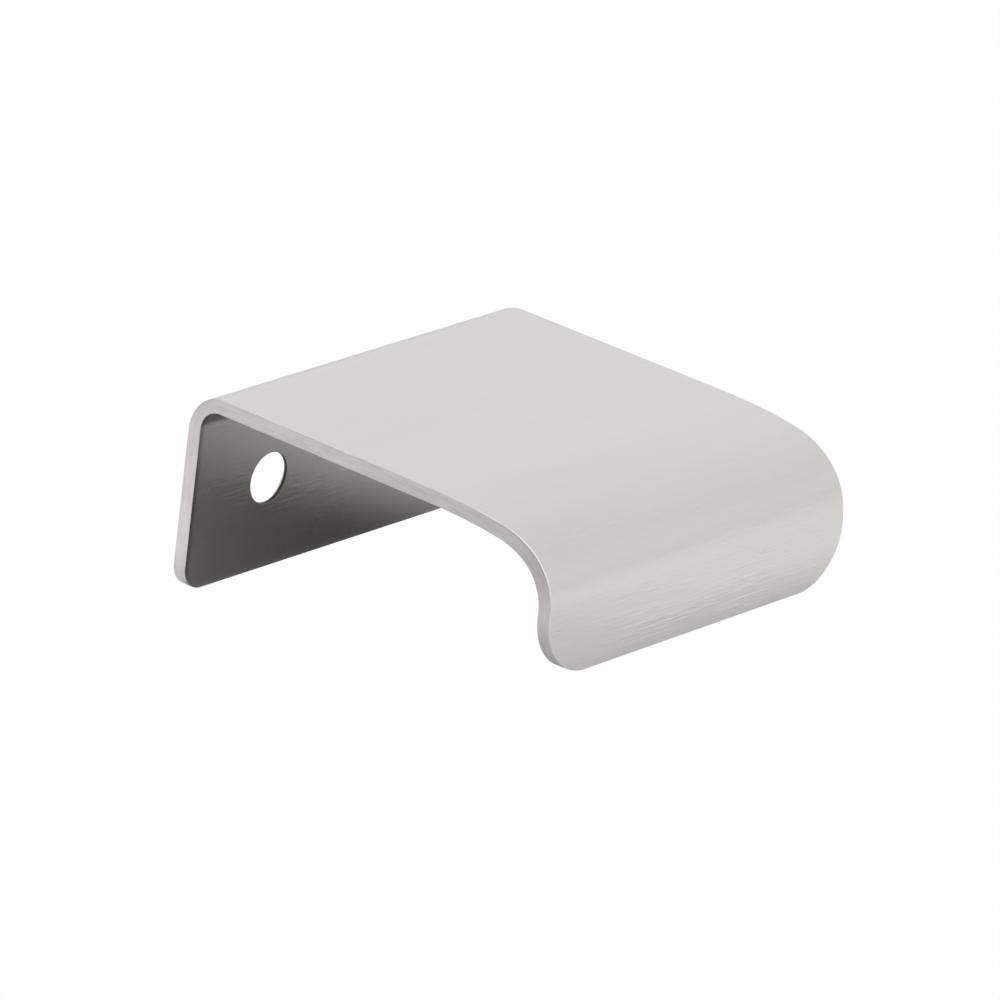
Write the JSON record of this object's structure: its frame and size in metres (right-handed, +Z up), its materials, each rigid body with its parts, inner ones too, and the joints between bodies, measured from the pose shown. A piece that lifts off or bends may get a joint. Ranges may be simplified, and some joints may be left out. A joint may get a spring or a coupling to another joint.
{
  "type": "tab pull",
  "caption": "Folded satin steel tab pull: a screw flange behind, a flat plate over the panel edge and a rolled lip in front for the fingers.",
  "frame": {"origin": "middle of the two screw holes, on the flange face that bears on the panel", "axes": "+X along the width, -Y forward from the flange to the lip, +Z up from the flange to the top plate"},
  "size_m": [0.044, 0.0459, 0.0206],
  "materials": {
    "satin_steel": "satin, brushed along the width"
  },
  "bodies": {
    "root": {"pull_plate": "satin_steel"}
  },
  "joints": []
}
